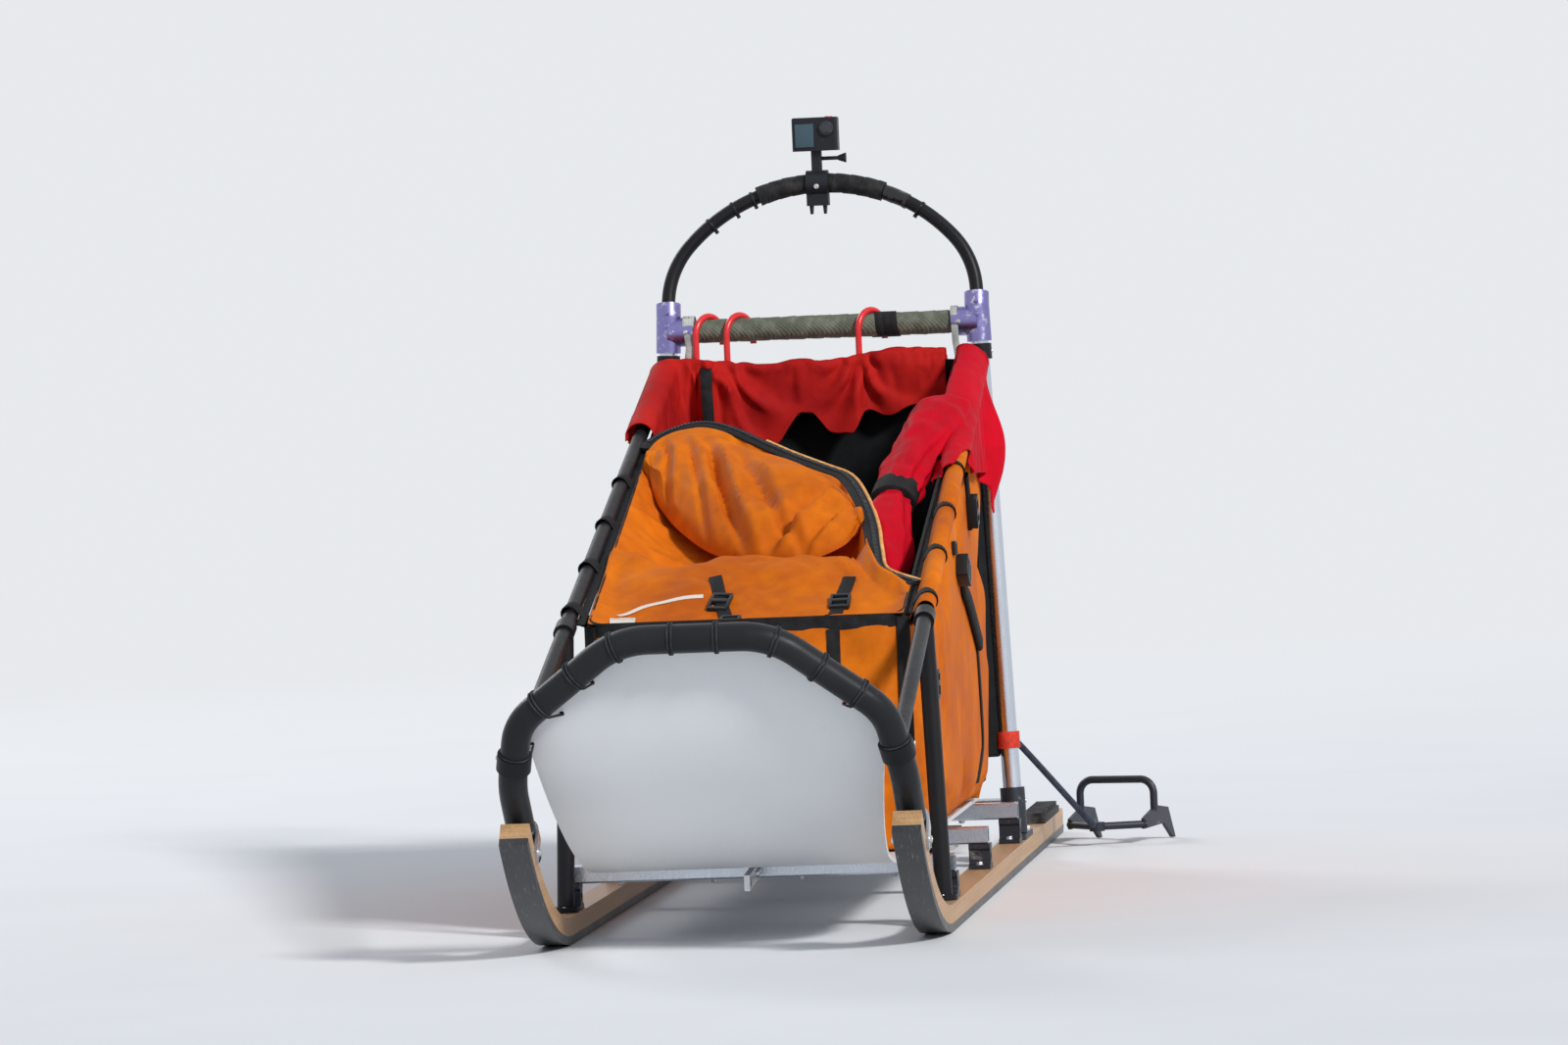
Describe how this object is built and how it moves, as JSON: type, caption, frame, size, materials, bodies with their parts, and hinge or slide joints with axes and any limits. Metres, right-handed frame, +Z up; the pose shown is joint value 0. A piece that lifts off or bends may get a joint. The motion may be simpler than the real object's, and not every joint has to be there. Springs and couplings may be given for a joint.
{
  "type": "dog sled",
  "caption": "Touring dog sled with wooden runners, raised plastic bed, brush bow, cloth bag, driving bow, foot brake, drag mat and snow hook.",
  "frame": {"origin": "on the ground under the middle of the sled, without the snow hook and its line", "axes": "-Y towards the nose, +X towards the sled's left side, +Z up"},
  "size_m": [0.7791, 2.4, 1.162],
  "materials": {
    "runner_wood": "laminated ash, oiled",
    "runner_sole": "worn slick plastic",
    "bed_plastic": "scuffed white sheet",
    "bow_plastic": "black pipe, scuffed",
    "alloy_tube": "bright tube",
    "rail_black": "black coated tube",
    "joint_alloy": "blue violet anodised",
    "grip_tape": "wound grip tape",
    "bar_wrap": "rough wrap, olive grey",
    "hook_red": "dipped red coating",
    "bag_orange": "coated cloth with black binding",
    "bag_red": "woven nylon",
    "steel_dark": "dark coated steel",
    "steel_bright": "plated steel, worn",
    "mat_rubber": "moulded track rubber",
    "line_rope": "braided line",
    "loop_web": "webbing",
    "camera_body": "dark housing"
  },
  "bodies": {
    "sled": {"bag_collar": "bag_red", "bag_cover": "bag_orange", "bag_hook_1": "hook_red", "bag_hook_2": "hook_red", "bag_hook_3": "hook_red", "bag_shell": "bag_orange", "bed_sheet": "bed_plastic", "brake_shaft": "steel_bright", "brush_bow": "bow_plastic", "brush_bow_clamp_left": "steel_bright", "brush_bow_clamp_right": "steel_bright", "camera": "camera_body", "camera_clamp": "camera_body", "cross_beam_front": "alloy_tube", "cross_beam_middle": "alloy_tube", "cross_beam_rear": "alloy_tube", "crossbar": "bar_wrap", "driving_bow": "rail_black", "footpad_left": "mat_rubber", "footpad_right": "mat_rubber", "front_upright_left": "rail_black", "front_upright_right": "rail_black", "grip_sleeve": "grip_tape", "hook_line": "line_rope", "joint_clamp_left": "joint_alloy", "joint_clamp_right": "joint_alloy", "line_loop": "loop_web", "mat_links": "steel_bright", "mat_rod": "steel_bright", "risers_left": "steel_dark", "risers_right": "steel_dark", "runner_left": "runner_wood", "runner_right": "runner_wood", "side_rail_left": "rail_black", "side_rail_right": "rail_black", "snow_hook": "steel_dark", "sole_left": "runner_sole", "sole_right": "runner_sole", "stanchion_foot_left": "steel_dark", "stanchion_foot_right": "steel_dark", "stanchion_left": "alloy_tube", "stanchion_right": "alloy_tube", "storm_flap": "bag_red", "tow_tab": "steel_bright"},
    "brake": {"brake_frame": "steel_dark"},
    "mat": {"drag_mat": "mat_rubber"}
  },
  "joints": [
    {"name": "brake_pivot", "type": "hinge", "parent": "sled", "child": "brake", "pos_m": [0, 0.606, 0.085], "axis": [1, 0, 0], "range_deg": [-24, 0], "stiffness_Nm_per_rad": 15, "springref_deg": 20.05},
    {"name": "mat_hinge", "type": "hinge", "parent": "sled", "child": "mat", "pos_m": [0, 0.79, 0.0197], "axis": [1, 0, 0], "range_deg": [0, 75]}
  ]
}
